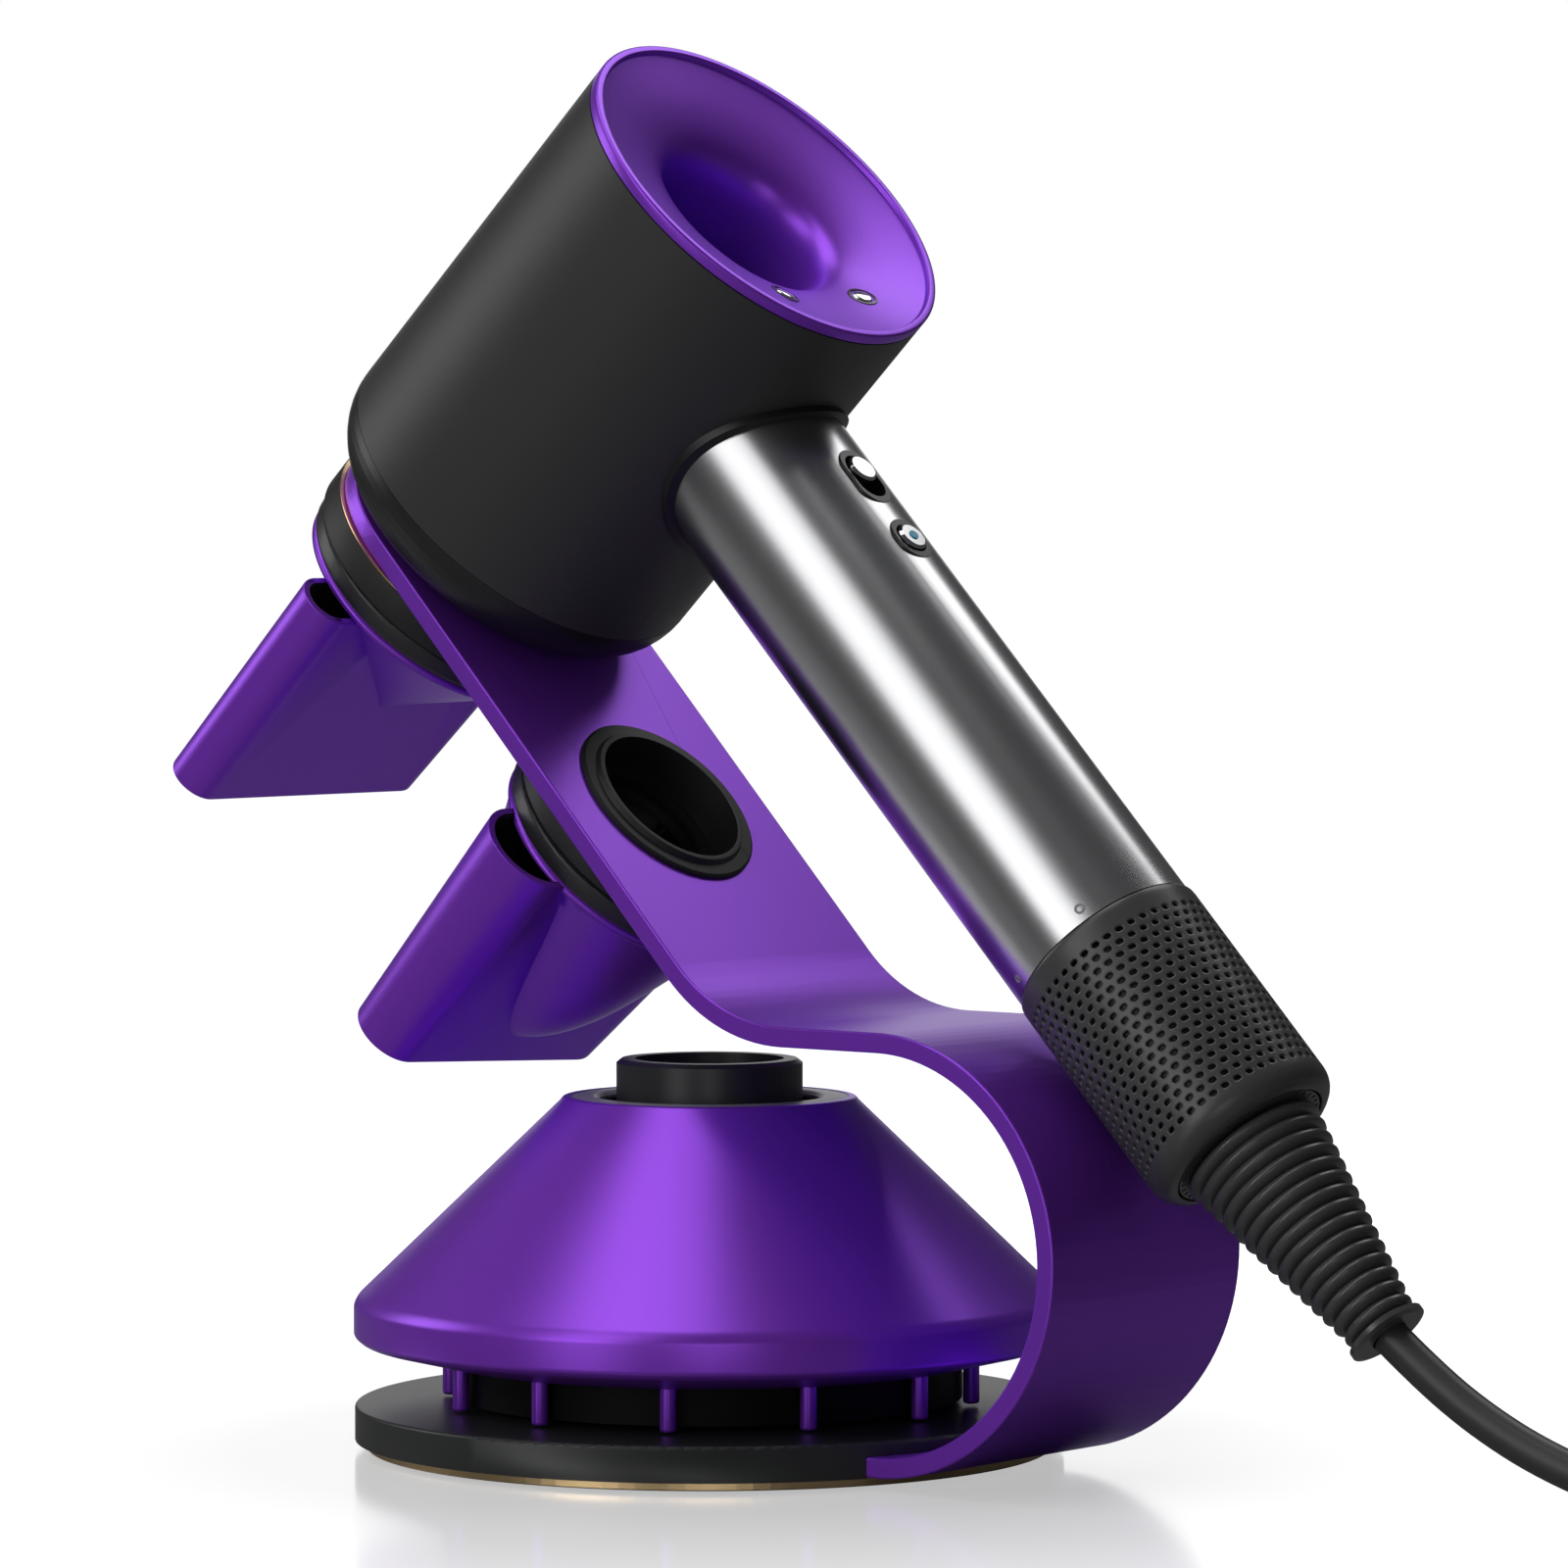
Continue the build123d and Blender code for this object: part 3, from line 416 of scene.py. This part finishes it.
# The tube is the bevel depth times each point's radius, and a curve's bounding box reads only the radius.
cord_curve.bevel_depth = 1.0
cord_curve.bevel_resolution = 5
cord_curve.use_fill_caps = True
cord_line = bpy.data.objects.new("cord_line", cord_curve)
bpy.context.scene.collection.objects.link(cord_line)
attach(cord_line, "dryer")
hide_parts("cord", "cord_coil", "cord_tail")
cord_curve.materials.append(finishes["cord_grey"])

# %% [markdown]
# ## Shaping round pieces
# Most of this object is turned: a dryer head, a handle, collars and a cone. Each such piece is a closed
# outline spun round its axis. Sharp machine corners look false because real ones catch a thin line of light,
# so a corner can carry a third number, the size of the rounding it gets before the spin.

# %% Outline, lathe and hand-over helpers
def outline(points):
    """Closed wire through (radius, height) points in millimetres; a third number rounds the corner."""
    bm = bmesh.new()
    corners = [bm.verts.new((point[0] * MM, 0, point[1] * MM)) for point in points]
    for pair in zip(corners, corners[1:] + corners[:1]):
        bm.edges.new(pair)
    for corner, point in zip(corners, points):
        if len(point) == 3:
            bmesh.ops.bevel(
                bm, geom=[corner, *corner.link_edges], offset=point[2] * MM, offset_type="OFFSET",
                affect="VERTICES", segments=4, profile=0.5, material=-1,
            )
    return bm


def lathe(points, steps=96):
    """Outline spun a full turn about Z."""
    bm = outline(points)
    bmesh.ops.spin(
        bm, geom=bm.verts[:] + bm.edges[:], cent=(0, 0, 0), axis=(0, 0, 1), angle=2 * pi, steps=steps,
        use_merge=True,
    )
    return bm


def show(bm, name, body, slot, where=None, swap=(), crease=35.0, finish_name=None):
    """Hand a finished mesh over: closed, facing out, in its place, on its body and in its material."""
    bmesh.ops.remove_doubles(bm, verts=bm.verts[:], dist=0.001 * MM)
    bmesh.ops.recalc_face_normals(bm, faces=bm.faces[:])
    if where:
        bmesh.ops.transform(bm, matrix=where, verts=bm.verts[:])
    mesh = bpy.data.meshes.new(name)
    bm.to_mesh(mesh)
    bm.free()
    mesh.shade_smooth()
    mesh.set_sharp_from_angle(angle=radians(crease))
    mesh.materials.append(finishes[finish_name or slot])
    piece = bpy.data.objects.new(name, mesh)
    bpy.context.scene.collection.objects.link(piece)
    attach(piece, body)
    if swap:
        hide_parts(*swap)
    print(name, len(mesh.polygons), "faces")
    return piece


def copy_of(*names):
    """Merged copy of one or more CAD solids, in the object's own frame."""
    bm = bmesh.new()
    for name in names:
        copy = nodes[name].data.copy()
        copy.transform(nodes[name].matrix_world)
        bm.from_mesh(copy)
        bpy.data.meshes.remove(copy)
    bmesh.ops.remove_doubles(bm, verts=bm.verts[:], dist=0.002 * MM)
    return bm


def soften(piece, width, segments=3, angle=35.0):
    """Small rounded edges that catch the light."""
    edge = piece.modifiers.new("edge", "BEVEL")
    edge.width = width * MM
    edge.segments = segments
    edge.limit_method = "ANGLE"
    edge.angle_limit = radians(angle)
    edge.harden_normals = True
    return piece


# %% [markdown]
# ## The inlet bell and its two buttons
# Air is drawn in through the handle, but the back of the head is open too: a wide dish that slopes in from a
# flat rim and turns over a soft edge into the hole right through the dryer. The whole line is one outline, so
# the light runs round it without a break. Two small buttons stand through it and lean with its surface.

# %% Dished inlet
rim_r, bore_r = 39.0, 17.0
dish = [
    (37.1, 1.0), (33.5, 2.1), (30.0, 3.1), (27.0, 4.05), (24.0, 5.1), (21.8, 6.0), (20.4, 6.75), (19.3, 7.7),
    (18.4, 9.0), (17.7, 10.8), (17.2, 13.2), (bore_r, 16.0), (bore_r, 58.0),
]
# The back of the wall stands 1.2 mm behind the dish, and beside it once the line has turned into the bore.
bore_from, wall_gap = 9, 1.2
bell = [(37.4, 0.0, 0.25), (rim_r, 0.0, 0.5), (rim_r, 2.2, 0.2), (36.9, 2.3)]
for r, z in dish[1:]:
    bell.append((r + wall_gap, z) if z > bore_from else (r + 0.3, z + wall_gap))
bell += dish[::-1]
show(lathe(bell, 128), "dished_inlet", "dryer", "purple_satin", head_place, ["inlet_bell"])

# %% Buttons in the dish
button_x, button_y, button_r = 24.2, 11.6, 2.2
button_deep, lean = 4.05, 0.33
# A button leans but travels straight into the head, so it drifts 0.25 mm across its well when pressed.
well_in, well_out = button_r + 0.28, button_r + 0.85
for name, side in (("flow_button", 1), ("heat_button", -1)):
    inward = Vector((-button_x, -button_y * side, 0)).normalized()
    facing = (Vector((0, 0, -1)) + inward * lean).normalized()
    across = facing.cross(inward).normalized()
    seat = place(Vector((button_x, button_y * side, button_deep)) * MM, facing, across)
    knob = [(0, 0.42), (1.2, 0.38), (1.8, 0.25, 0.2), (button_r, -0.2, 0.1), (button_r, -2.0), (0, -2.0)]
    show(lathe(knob, 40), name + "_cap", name, "button_chrome", head_place @ seat, [name])
    well = [(well_in, 0.12), (well_out, 0.1, 0.1), (well_out, -0.8), (well_in, -0.8)]
    show(lathe(well, 40), name + "_well", "dryer", "control_black", head_place @ seat)

# %% [markdown]
# ## The filter cage
# The intake is a sleeve pierced by hundreds of small staggered holes. A boolean for each would be slow and
# messy, so the holes come from the grid itself: rows of faces are joined in pairs like bricks, each brick is
# inset, its middle is taken out, and one subdivision rounds what is left. A solidify gives the wall.

# %% Perforated sleeve
cage_r, cage_start, cage_end = 19.2, 158.4, 205.0
holes_round, hole_rows, hole_low, hole_high = 46, 18, 162.2, 200.6
row_high = (hole_high - hole_low) / hole_rows
cage_wall = [(cage_r - 0.25, cage_start), (cage_r, cage_start + 0.35), (cage_r, cage_start + 2.0)]
cage_wall += [(cage_r, hole_low + row_high * k) for k in range(hole_rows + 1)]
corner_r = 3.4
for turn in (0, 30, 60, 80, 90):
    inset, rise = corner_r * (1 - cos(radians(turn))), corner_r * sin(radians(turn))
    cage_wall.append((cage_r - inset, cage_end - corner_r + rise))
cage_wall.append((15.7, cage_end))
bm = bmesh.new()
wire = [bm.verts.new((r * MM, 0, z * MM)) for r, z in cage_wall]
for pair in zip(wire, wire[1:]):
    bm.edges.new(pair)
bmesh.ops.spin(
    bm, geom=bm.verts[:] + bm.edges[:], cent=(0, 0, 0), axis=(0, 0, 1), angle=2 * pi, steps=2 * holes_round,
    use_merge=True,
)
bmesh.ops.remove_doubles(bm, verts=bm.verts[:], dist=0.001 * MM)
bmesh.ops.recalc_face_normals(bm, faces=bm.faces[:])


def brick_row(edge):
    """Row of an upright edge in the pierced band, or None."""
    a, b = (vert.co.z / MM for vert in edge.verts)
    if abs(a - b) < 0.5 or min(a, b) < hole_low - 0.1 or max(a, b) > hole_high + 0.1:
        return None
    return round((min(a, b) - hole_low) / row_high)


def brick_column(edge):
    """Column of an upright edge round the sleeve."""
    spot = edge.verts[0].co
    return round(atan2(spot.y, spot.x) / (pi / holes_round))


uprights = [(edge, brick_row(edge)) for edge in bm.edges]
joints_out = [edge for edge, row in uprights if row is not None and (brick_column(edge) + row) % 2 == 0]
bmesh.ops.dissolve_edges(bm, edges=joints_out, use_verts=False, use_face_split=False)
bricks = [face for face in bm.faces if len(face.verts) >= 6]
bmesh.ops.inset_individual(bm, faces=bricks, thickness=0.5 * MM, depth=0.0, use_even_offset=True)
bmesh.ops.delete(bm, geom=bricks, context="FACES")
cage = show(bm, "pierced_sleeve", "filter_cage", "cage_grey", handle_place, ["filter_cage"], crease=60.0)
rounder = cage.modifiers.new("round holes", "SUBSURF")
rounder.levels = rounder.render_levels = 1
wall = cage.modifiers.new("wall", "SOLIDIFY")
wall.thickness = 1.1 * MM
wall.offset = -1.0
print("holes", holes_round * hole_rows)

# %% Marks for lining up the cage
for angle, along, size in ((-122.0, 155.6, 1.0), (-60.0, 155.8, 0.75)):
    outward = Vector((cos(radians(angle)), sin(radians(angle)), 0))
    seat = place((outward * 18.6 + Vector((0, 0, along))) * MM, outward, Vector((0, 0, 1)))
    mark = [(size * 0.55, -0.3), (size * 0.55, 0.08), (size, 0.08), (size, -0.3)]
    show(
        lathe(mark, 24), "line_up_mark_%d" % round(-angle), "dryer", "cage_grey", handle_place @ seat,
        finish_name="ring_pale",
    )

# %% [markdown]
# ## The bend protector
# Soft ribs keep the lead from kinking where it leaves the handle. Each rib is a full round, so that it takes
# a small highlight of its own; the ribs shrink evenly towards the lead.

# %% Ribbed protector
relief_start, relief_end, relief_ribs = 205.2, 247.2, 15
first_crest, last_crest, groove, lead_hole = 14.0, 7.1, 1.5, 3.55
pitch = (relief_end - relief_start) / relief_ribs
ribs = [(lead_hole, relief_start)]
for k in range(relief_ribs):
    crest = first_crest + (last_crest - first_crest) * k / (relief_ribs - 1)
    rib_start = relief_start + k * pitch
    for share in (0.02, 0.2, 0.35, 0.5, 0.65, 0.8, 0.98):
        ribs.append((crest - groove * abs(2 * share - 1) ** 2.2, rib_start + pitch * share))
ribs.append((lead_hole, relief_end))
show(
    lathe(ribs, 72), "ribbed_protector", "dryer", "relief_grey", handle_place, ["strain_relief"], crease=50.0,
)

# %% [markdown]
# ## The stand's arm
# One strip of thick metal is cut with a round end and two holes, bent round a loop, and painted. The three
# CAD stretches are joined into one strip again: the cut faces between them go, the corners weld, and a bevel
# rounds every edge, as the paint does.

# %% Arm as one strip
lower_hole_down, head_to_plate, plate_cut_down, foot_cut_x, foot_top = 67.7, 99, 104, 63.3, 10
plate_point = lower_axis - down * lower_hole_down * MM
plate_point = plate_point - flow * (plate_point - rear_rim - flow * head_to_plate * MM).dot(flow)
bm = copy_of("arm_plate", "arm_loop", "arm_foot")
cut_faces = []
weld = 0.02 * MM
for face in bm.faces:
    drops = [(vert.co - plate_point).dot(down) for vert in face.verts]
    on_plate_cut = all(abs(drop - plate_cut_down * MM) < weld for drop in drops)
    at_foot_cut = all(abs(vert.co.x - foot_cut_x * MM) < weld for vert in face.verts)
    if on_plate_cut or (at_foot_cut and all(vert.co.z < foot_top * MM for vert in face.verts)):
        cut_faces.append(face)
print("cut faces", len(cut_faces))
bmesh.ops.delete(bm, geom=cut_faces, context="FACES")
bmesh.ops.remove_doubles(bm, verts=bm.verts[:], dist=weld)
arm = show(bm, "bent_arm", "stand", "purple_satin", None, ["arm_plate", "arm_loop", "arm_foot"], crease=30.0)
soften(arm, 0.45)

# %% [markdown]
# ## Base, docks and collars
# These are moulded or pressed pieces whose CAD shape is right, so a merged copy of each only gets the small
# rounded edges that a mould or a press leaves.

# %% Softened copies
for node_name, body, slot, width in (
    ("base_disc", "stand", "base_black", 0.5), ("upper_dock", "stand", "dock_black", 0.35),
    ("lower_dock", "stand", "dock_black", 0.35), ("base_trim_ring", "stand", "trim_copper", 0.25),
    ("smoothing_nozzle_collar", "smoothing_mount", "collar_grey", 0.4),
    ("styling_nozzle_collar", "styling_mount", "collar_grey", 0.4), ("plug_body", "dryer", "plug_black", 0.9),
):
    piece = show(copy_of(node_name), node_name + "_soft", body, slot, None, [node_name], crease=30.0)
    soften(piece, width)

# %% [markdown]
# ## The nozzles
# Each nozzle is a flat blade with a cone growing out of both its faces. The blade is hollow, and a thin black
# skin on its inner faces is painted shade: it paints the dark inside of the hollow.

# %% Blades, cones and black liners of painted shade
for prefix, axis_point, edge in (("smoothing_nozzle", upper_axis, 0.35), ("styling_nozzle", lower_axis, 0.5)):
    for part, crease in (("_blade", 30.0), ("_cone", 40.0)):
        name = prefix + part
        shell = show(copy_of(name), name + "_soft", prefix, "purple_satin", None, [name], crease=crease)
        if part == "_blade":
            soften(shell, edge, 2)
    # The inner faces of blade and cone get a thin black skin: painted shade for the inside of the hollow.
    bm = copy_of(prefix + "_blade", prefix + "_cone")
    outer_faces = []
    for face in bm.faces:
        spot = face.calc_center_median() - axis_point
        spot -= flow * spot.dot(flow)
        inner = face.normal.dot(spot.normalized()) < -0.12 and abs(face.normal.dot(flow)) < 0.5
        if not inner:
            outer_faces.append(face)
    bmesh.ops.delete(bm, geom=outer_faces, context="FACES")
    print("liner faces", len(bm.faces))
    shade_liner = show(bm, prefix + "_liner", prefix, "dock_black", crease=30.0)
    skin = shade_liner.modifiers.new("skin", "SOLIDIFY")
    skin.thickness = 0.25 * MM
    skin.offset = 0.9

# %% [markdown]
# ## The diffuser
# A wide cone in the same paint, with an upright band round its foot and a pale ring let into its top. It
# stands on a circle of short pegs under the dished face.

# %% Cone, pale ring and pegs
cone = [
    (28.1, 67.6, 0.4), (28.7, 66.8), (67.5, 29.4, 0.8), (68.3, 27.8, 0.5), (68.3, 22.0, 0.5),
    (66.9, 20.8, 0.5), (52.6, 17.4, 0.4), (50.8, 17.4), (50.8, 19.2), (65.9, 23.0), (66.5, 27.2),
    (26.7, 65.2), (26.7, 67.6),
]
show(lathe(cone, 160), "cone_shell", "diffuser", "purple_satin", None, ["diffuser_cone"], crease=28.0)
pale = [(26.75, 67.5, 0.2), (22.2, 67.7, 0.4), (21.4, 66.9), (21.4, 66.4), (22.2, 66.9), (26.75, 66.9)]
show(lathe(pale, 96), "cone_top_ring", "diffuser", "collar_grey", finish_name="ring_pale")
peg_count, peg_ring, peg_r, peg_top, peg_foot, first_peg = 12, 50.6, 1.6, 17.3, 9.1, -59
bm = bmesh.new()
for k in range(peg_count):
    angle = radians(first_peg + 360 / peg_count * k)
    peg = lathe([(0, peg_top), (peg_r, peg_top), (peg_r, peg_foot, 0.7), (0, peg_foot)], 24)
    spot = Vector((cos(angle), sin(angle), 0)) * peg_ring * MM
    bmesh.ops.translate(peg, vec=spot, verts=peg.verts[:])
    spare = bpy.data.meshes.new("peg")
    peg.to_mesh(spare)
    peg.free()
    bm.from_mesh(spare)
    bpy.data.meshes.remove(spare)
show(bm, "standing_pegs", "diffuser", "purple_satin", None, ["diffuser_pegs"])
